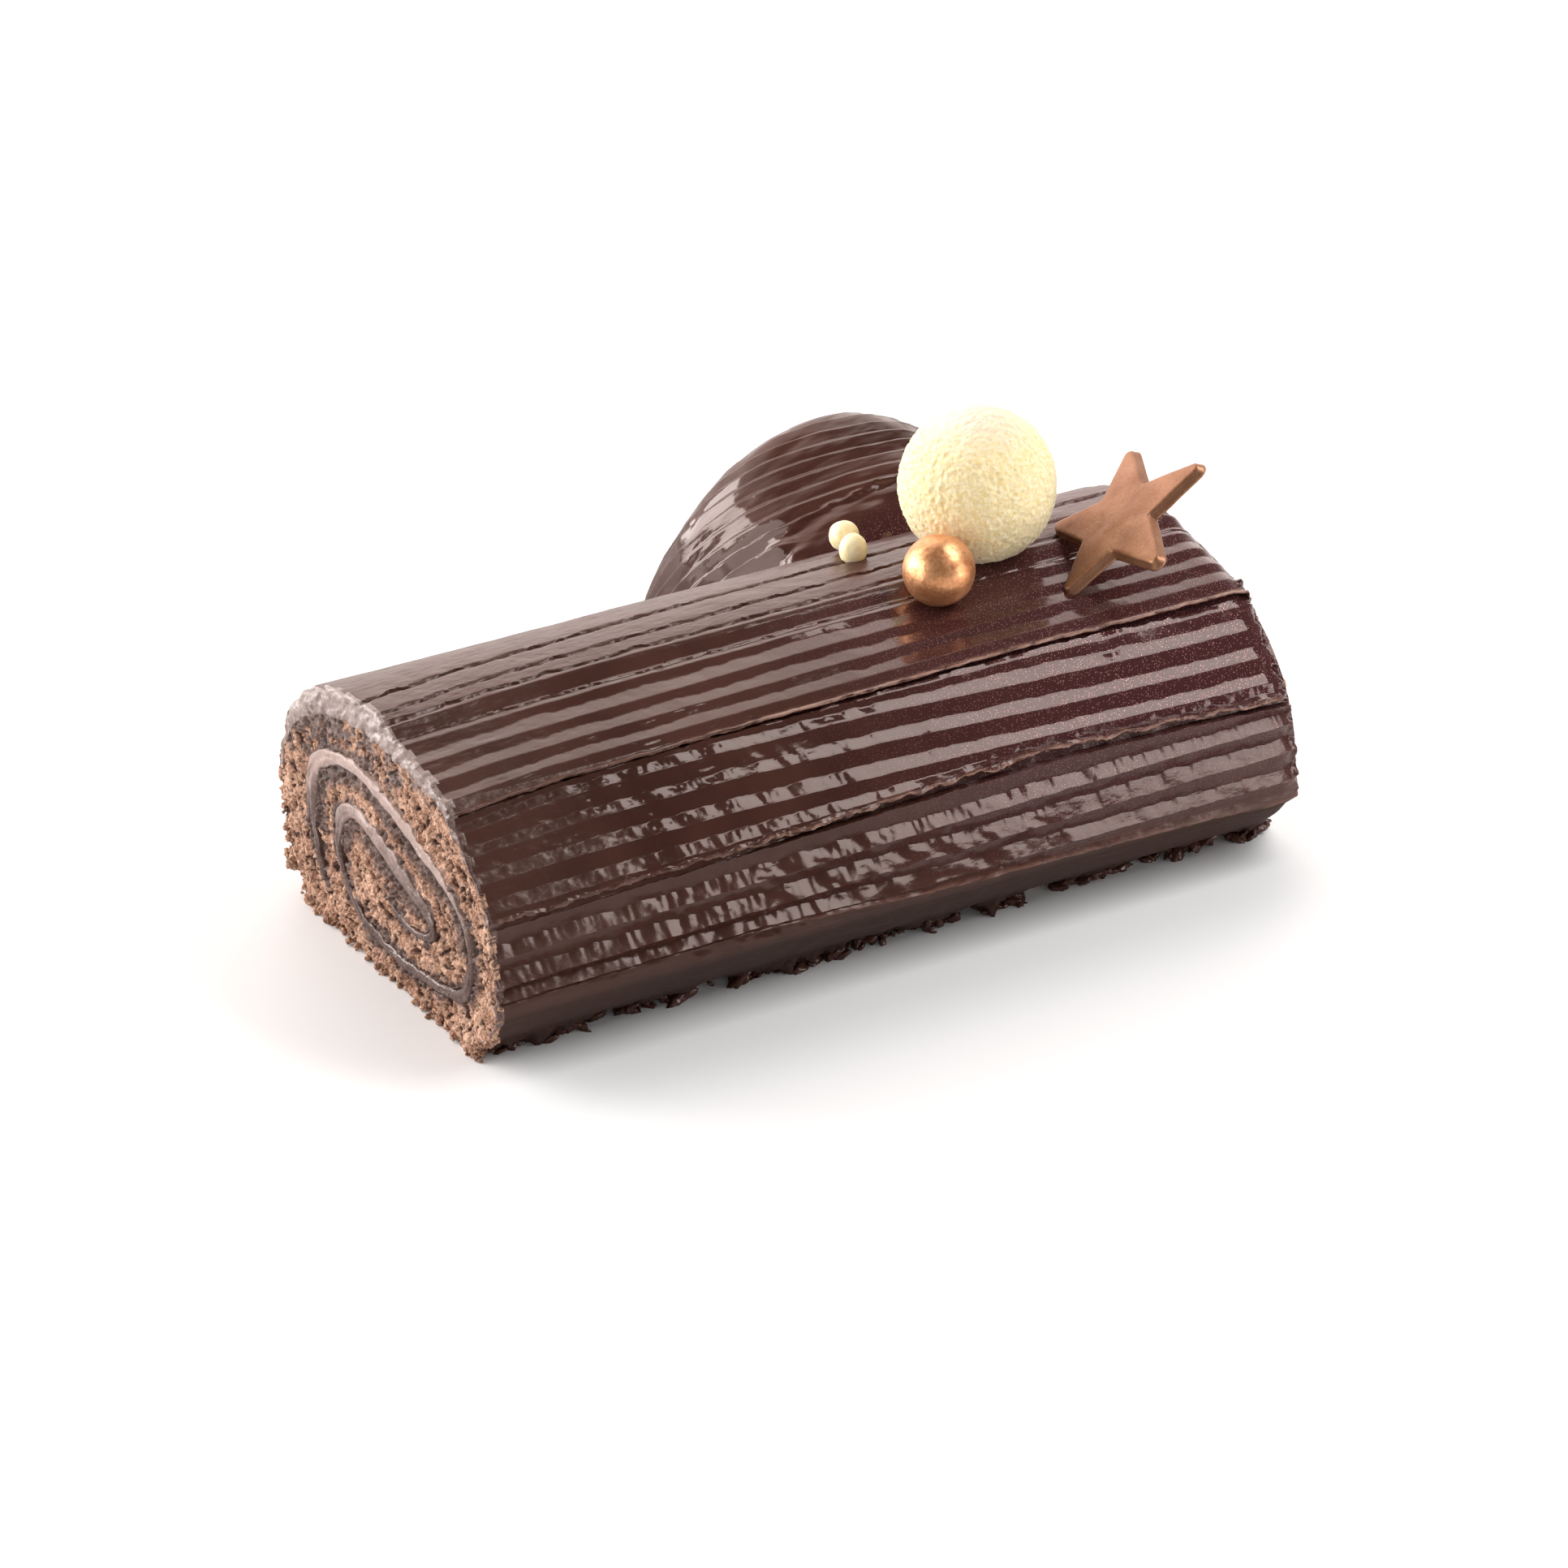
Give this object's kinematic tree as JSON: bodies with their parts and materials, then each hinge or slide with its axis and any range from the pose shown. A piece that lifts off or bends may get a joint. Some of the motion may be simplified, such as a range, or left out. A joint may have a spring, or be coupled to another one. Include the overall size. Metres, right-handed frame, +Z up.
{
  "type": "yule log cake",
  "caption": "Rolled chocolate sponge cake with cream spiral, ribbed chocolate icing, a branch stump, and a snow ball, pearls and a gold star on top.",
  "frame": {"origin": "centre of the log's flat underside", "axes": "+X along the log from the open cut end to the far end, +Y towards the branch stump, +Z up"},
  "size_m": [0.2116, 0.1701, 0.0993],
  "materials": {
    "cocoa_sponge": "open, crumbly cocoa sponge with small pores",
    "cocoa_cream": "smooth satin chocolate cream",
    "chocolate_glaze": "glossy dark chocolate icing, combed into ribs",
    "velvet_white_chocolate": "matt, finely grained sprayed cocoa butter, cream yellow",
    "gold_coating": "shiny copper gold coating",
    "cream_pearl": "satin cream coating",
    "gold_chocolate": "moulded chocolate with a satin copper gold dusting"
  },
  "bodies": {
    "root": {"sponge_roll": "cocoa_sponge", "cream_filling": "cocoa_cream", "chocolate_icing": "chocolate_glaze", "branch_stump": "chocolate_glaze", "snow_ball": "velvet_white_chocolate", "gold_pearl": "gold_coating", "small_pearl_front": "cream_pearl", "small_pearl_back": "cream_pearl", "gold_star": "gold_chocolate"}
  },
  "joints": []
}
